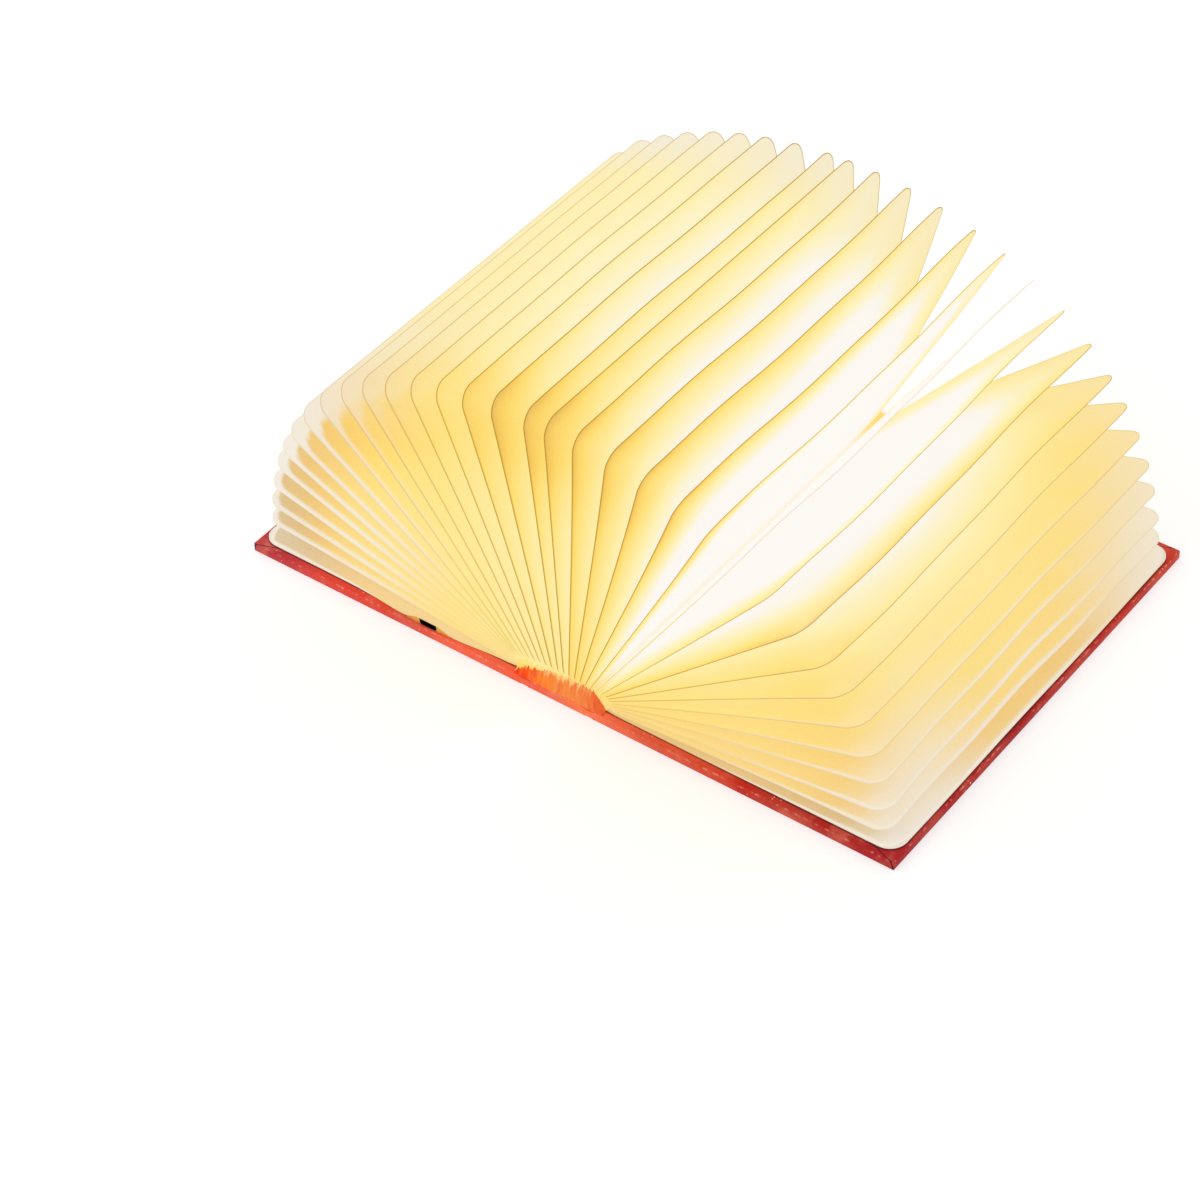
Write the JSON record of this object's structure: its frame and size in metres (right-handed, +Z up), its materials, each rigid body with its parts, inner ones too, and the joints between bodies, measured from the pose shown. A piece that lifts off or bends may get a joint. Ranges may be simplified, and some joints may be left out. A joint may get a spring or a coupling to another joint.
{
  "type": "book lamp",
  "caption": "Folding paper book lamp: a hardback case whose covers open flat and fan out doubled translucent leaves over a light bar on the spine.",
  "frame": {"origin": "middle of the underside, on the surface that the open lamp lies on", "axes": "+X across the open book towards the right cover, +Y along the spine to the back edge, +Z up"},
  "size_m": [0.327, 0.215, 0.145],
  "materials": {
    "printed_wrap": "satin",
    "grey_board": "matte",
    "lining_cloth": "matte",
    "cream_paper": "matte",
    "lit_paper": "translucent",
    "channel_plastic": "satin",
    "circuit_board": "satin",
    "control_circuit": "satin",
    "led_phosphor": "gloss",
    "diffuser": "frosted",
    "amber_plastic": "satin",
    "chip": "satin",
    "battery_foil": "satin",
    "socket_steel": "black nickel",
    "socket_plastic": "matte",
    "ribbon_film": "satin",
    "magnet_nickel": "polished"
  },
  "bodies": {
    "spine": {"spine_board": "grey_board", "spine_wrap": "printed_wrap", "spine_lining": "lining_cloth", "light_channel": "channel_plastic", "led_board": "circuit_board", "leds": "led_phosphor", "light_diffuser": "diffuser", "left_root_cloth": "lining_cloth", "right_root_cloth": "lining_cloth", "hinge_ribbon": "ribbon_film", "page_17": "lit_paper"},
    "left_cover": {"left_cover_board": "grey_board", "left_cover_wrap": "printed_wrap", "left_endpaper": "cream_paper", "left_flyleaf": "lit_paper", "electronics_tray": "amber_plastic", "tray_lid": "amber_plastic", "control_board": "control_circuit", "position_sensor": "chip", "battery_cell": "battery_foil", "usb_socket_shell": "socket_steel", "usb_socket_tongue": "socket_plastic", "cover_ribbon": "ribbon_film"},
    "right_cover": {"right_cover_board": "grey_board", "right_cover_wrap": "printed_wrap", "right_endpaper": "cream_paper", "right_flyleaf": "lit_paper", "switch_magnet": "magnet_nickel"},
    "page_01": {"page_01": "lit_paper"},
    "page_02": {"page_02": "lit_paper"},
    "page_03": {"page_03": "lit_paper"},
    "page_04": {"page_04": "lit_paper"},
    "page_05": {"page_05": "lit_paper"},
    "page_06": {"page_06": "lit_paper"},
    "page_07": {"page_07": "lit_paper"},
    "page_08": {"page_08": "lit_paper"},
    "page_09": {"page_09": "lit_paper"},
    "page_10": {"page_10": "lit_paper"},
    "page_11": {"page_11": "lit_paper"},
    "page_12": {"page_12": "lit_paper"},
    "page_13": {"page_13": "lit_paper"},
    "page_14": {"page_14": "lit_paper"},
    "page_15": {"page_15": "lit_paper"},
    "page_16": {"page_16": "lit_paper"},
    "page_18": {"page_18": "lit_paper"},
    "page_19": {"page_19": "lit_paper"},
    "page_20": {"page_20": "lit_paper"},
    "page_21": {"page_21": "lit_paper"},
    "page_22": {"page_22": "lit_paper"},
    "page_23": {"page_23": "lit_paper"},
    "page_24": {"page_24": "lit_paper"},
    "page_25": {"page_25": "lit_paper"},
    "page_26": {"page_26": "lit_paper"},
    "page_27": {"page_27": "lit_paper"},
    "page_28": {"page_28": "lit_paper"},
    "page_29": {"page_29": "lit_paper"},
    "page_30": {"page_30": "lit_paper"},
    "page_31": {"page_31": "lit_paper"},
    "page_32": {"page_32": "lit_paper"}
  },
  "joints": [
    {"name": "right_cover_fold", "type": "hinge", "parent": "spine", "child": "right_cover", "pos_m": [0.0142, 0, 0.0002], "axis": [0, -1, 0], "range_deg": [0, 90], "deforming": ["right_root_cloth"]},
    {"name": "left_cover_fold", "type": "hinge", "parent": "spine", "child": "left_cover", "pos_m": [-0.0142, 0, 0.0002], "axis": [0, 1, 0], "range_deg": [0, 90], "deforming": ["left_root_cloth", "hinge_ribbon"]},
    {"name": "page_01_fan", "type": "hinge", "parent": "spine", "child": "page_01", "pos_m": [-0.01219, 0, -0.00191], "axis": [0, 1, 0], "range_deg": [0, 84.31]},
    {"name": "page_02_fan", "type": "hinge", "parent": "spine", "child": "page_02", "pos_m": [-0.01217, 0, -0.00255], "axis": [0, 1, 0], "range_deg": [0, 79.91]},
    {"name": "page_03_fan", "type": "hinge", "parent": "spine", "child": "page_03", "pos_m": [-0.01212, 0, -0.00331], "axis": [0, 1, 0], "range_deg": [0, 75.11]},
    {"name": "page_04_fan", "type": "hinge", "parent": "spine", "child": "page_04", "pos_m": [-0.01201, 0, -0.00431], "axis": [0, 1, 0], "range_deg": [0, 69.61]},
    {"name": "page_05_fan", "type": "hinge", "parent": "spine", "child": "page_05", "pos_m": [-0.01187, 0, -0.00524], "axis": [0, 1, 0], "range_deg": [0, 64.91]},
    {"name": "page_06_fan", "type": "hinge", "parent": "spine", "child": "page_06", "pos_m": [-0.01166, 0, -0.00649], "axis": [0, 1, 0], "range_deg": [0, 59.61]},
    {"name": "page_07_fan", "type": "hinge", "parent": "spine", "child": "page_07", "pos_m": [-0.01137, 0, -0.00831], "axis": [0, 1, 0], "range_deg": [0, 53.41]},
    {"name": "page_08_fan", "type": "hinge", "parent": "spine", "child": "page_08", "pos_m": [-0.01098, 0, -0.0108], "axis": [0, 1, 0], "range_deg": [0, 46.81]},
    {"name": "page_09_fan", "type": "hinge", "parent": "spine", "child": "page_09", "pos_m": [-0.01047, 0, -0.01429], "axis": [0, 1, 0], "range_deg": [0, 39.91]},
    {"name": "page_10_fan", "type": "hinge", "parent": "spine", "child": "page_10", "pos_m": [-0.00893, 0, -0.01453], "axis": [0, 1, 0], "range_deg": [0, 34.91]},
    {"name": "page_11_fan", "type": "hinge", "parent": "spine", "child": "page_11", "pos_m": [-0.00739, 0, -0.01466], "axis": [0, 1, 0], "range_deg": [0, 30.01]},
    {"name": "page_12_fan", "type": "hinge", "parent": "spine", "child": "page_12", "pos_m": [-0.00585, 0, -0.01513], "axis": [0, 1, 0], "range_deg": [0, 24.71]},
    {"name": "page_13_fan", "type": "hinge", "parent": "spine", "child": "page_13", "pos_m": [-0.00431, 0, -0.01535], "axis": [0, 1, 0], "range_deg": [0, 19.71]},
    {"name": "page_14_fan", "type": "hinge", "parent": "spine", "child": "page_14", "pos_m": [-0.00277, 0, -0.01541], "axis": [0, 1, 0], "range_deg": [0, 14.81]},
    {"name": "page_15_fan", "type": "hinge", "parent": "spine", "child": "page_15", "pos_m": [-0.00123, 0, -0.01672], "axis": [0, 1, 0], "range_deg": [0, 9.41]},
    {"name": "page_16_fan", "type": "hinge", "parent": "spine", "child": "page_16", "pos_m": [0.00031, 0, -0.0267], "axis": [0, 1, 0], "range_deg": [0, 3.41]},
    {"name": "page_18_fan", "type": "hinge", "parent": "spine", "child": "page_18", "pos_m": [0.00323, 0, -0.01155], "axis": [0, -1, 0], "range_deg": [0, 5.01]},
    {"name": "page_19_fan", "type": "hinge", "parent": "spine", "child": "page_19", "pos_m": [0.00461, 0, -0.00997], "axis": [0, -1, 0], "range_deg": [0, 10.81]},
    {"name": "page_20_fan", "type": "hinge", "parent": "spine", "child": "page_20", "pos_m": [0.00599, 0, -0.00931], "axis": [0, -1, 0], "range_deg": [0, 16.71]},
    {"name": "page_21_fan", "type": "hinge", "parent": "spine", "child": "page_21", "pos_m": [0.00737, 0, -0.00861], "axis": [0, -1, 0], "range_deg": [0, 23.01]},
    {"name": "page_22_fan", "type": "hinge", "parent": "spine", "child": "page_22", "pos_m": [0.00875, 0, -0.0085], "axis": [0, -1, 0], "range_deg": [0, 28.71]},
    {"name": "page_23_fan", "type": "hinge", "parent": "spine", "child": "page_23", "pos_m": [0.01013, 0, -0.0083], "axis": [0, -1, 0], "range_deg": [0, 34.51]},
    {"name": "page_24_fan", "type": "hinge", "parent": "spine", "child": "page_24", "pos_m": [0.01152, 0, -0.00767], "axis": [0, -1, 0], "range_deg": [0, 41.21]},
    {"name": "page_25_fan", "type": "hinge", "parent": "spine", "child": "page_25", "pos_m": [0.01249, 0, -0.00615], "axis": [0, -1, 0], "range_deg": [0, 48.21]},
    {"name": "page_26_fan", "type": "hinge", "parent": "spine", "child": "page_26", "pos_m": [0.01295, 0, -0.00441], "axis": [0, -1, 0], "range_deg": [0, 54.71]},
    {"name": "page_27_fan", "type": "hinge", "parent": "spine", "child": "page_27", "pos_m": [0.01328, 0, -0.00326], "axis": [0, -1, 0], "range_deg": [0, 60.31]},
    {"name": "page_28_fan", "type": "hinge", "parent": "spine", "child": "page_28", "pos_m": [0.01353, 0, -0.0023], "axis": [0, -1, 0], "range_deg": [0, 66.01]},
    {"name": "page_29_fan", "type": "hinge", "parent": "spine", "child": "page_29", "pos_m": [0.0137, 0, -0.00148], "axis": [0, -1, 0], "range_deg": [0, 71.71]},
    {"name": "page_30_fan", "type": "hinge", "parent": "spine", "child": "page_30", "pos_m": [0.0138, 0, -0.0009], "axis": [0, -1, 0], "range_deg": [0, 76.61]},
    {"name": "page_31_fan", "type": "hinge", "parent": "spine", "child": "page_31", "pos_m": [0.01387, 0, -0.0003], "axis": [0, -1, 0], "range_deg": [0, 81.91]},
    {"name": "page_32_fan", "type": "hinge", "parent": "spine", "child": "page_32", "pos_m": [0.0139, 0, 0.00026], "axis": [0, -1, 0], "range_deg": [0, 87.31]}
  ],
  "couplings": [
    {"joint": "page_01_fan", "follows": "left_cover_fold", "ratio": 0.93667},
    {"joint": "page_02_fan", "follows": "left_cover_fold", "ratio": 0.88778},
    {"joint": "page_03_fan", "follows": "left_cover_fold", "ratio": 0.83444},
    {"joint": "page_04_fan", "follows": "left_cover_fold", "ratio": 0.77333},
    {"joint": "page_05_fan", "follows": "left_cover_fold", "ratio": 0.72111},
    {"joint": "page_06_fan", "follows": "left_cover_fold", "ratio": 0.66222},
    {"joint": "page_07_fan", "follows": "left_cover_fold", "ratio": 0.59333},
    {"joint": "page_08_fan", "follows": "left_cover_fold", "ratio": 0.52},
    {"joint": "page_09_fan", "follows": "left_cover_fold", "ratio": 0.44333},
    {"joint": "page_10_fan", "follows": "left_cover_fold", "ratio": 0.38778},
    {"joint": "page_11_fan", "follows": "left_cover_fold", "ratio": 0.33333},
    {"joint": "page_12_fan", "follows": "left_cover_fold", "ratio": 0.27444},
    {"joint": "page_13_fan", "follows": "left_cover_fold", "ratio": 0.21889},
    {"joint": "page_14_fan", "follows": "left_cover_fold", "ratio": 0.16444},
    {"joint": "page_15_fan", "follows": "left_cover_fold", "ratio": 0.10444},
    {"joint": "page_16_fan", "follows": "left_cover_fold", "ratio": 0.037778},
    {"joint": "page_18_fan", "follows": "right_cover_fold", "ratio": 0.055556},
    {"joint": "page_19_fan", "follows": "right_cover_fold", "ratio": 0.12},
    {"joint": "page_20_fan", "follows": "right_cover_fold", "ratio": 0.18556},
    {"joint": "page_21_fan", "follows": "right_cover_fold", "ratio": 0.25556},
    {"joint": "page_22_fan", "follows": "right_cover_fold", "ratio": 0.31889},
    {"joint": "page_23_fan", "follows": "right_cover_fold", "ratio": 0.38333},
    {"joint": "page_24_fan", "follows": "right_cover_fold", "ratio": 0.45778},
    {"joint": "page_25_fan", "follows": "right_cover_fold", "ratio": 0.53556},
    {"joint": "page_26_fan", "follows": "right_cover_fold", "ratio": 0.60778},
    {"joint": "page_27_fan", "follows": "right_cover_fold", "ratio": 0.67},
    {"joint": "page_28_fan", "follows": "right_cover_fold", "ratio": 0.73333},
    {"joint": "page_29_fan", "follows": "right_cover_fold", "ratio": 0.79667},
    {"joint": "page_30_fan", "follows": "right_cover_fold", "ratio": 0.85111},
    {"joint": "page_31_fan", "follows": "right_cover_fold", "ratio": 0.91},
    {"joint": "page_32_fan", "follows": "right_cover_fold", "ratio": 0.97}
  ]
}
